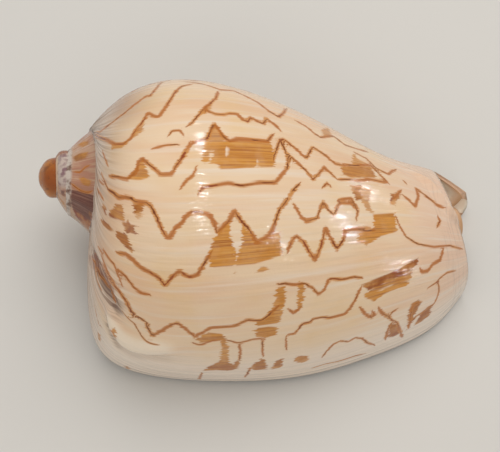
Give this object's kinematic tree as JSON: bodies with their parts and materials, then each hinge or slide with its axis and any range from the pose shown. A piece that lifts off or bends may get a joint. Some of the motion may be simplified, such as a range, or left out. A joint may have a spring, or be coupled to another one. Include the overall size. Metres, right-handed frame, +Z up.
{
  "type": "volute shell",
  "caption": "Glossy sea snail shell with a short round-topped spire, a large body whorl and a long open aperture, lying on its aperture.",
  "frame": {"origin": "on the floor under the middle of the shell's box", "axes": "+Z up, -X towards the spire, +X towards the siphonal canal, -Y towards the outer lip"},
  "size_m": [0.156, 0.0972, 0.0751],
  "materials": {
    "shell": "glossy natural shell, cream with orange-brown lines and blotches"
  },
  "bodies": {
    "root": {"volute_shell": "shell"}
  },
  "joints": []
}
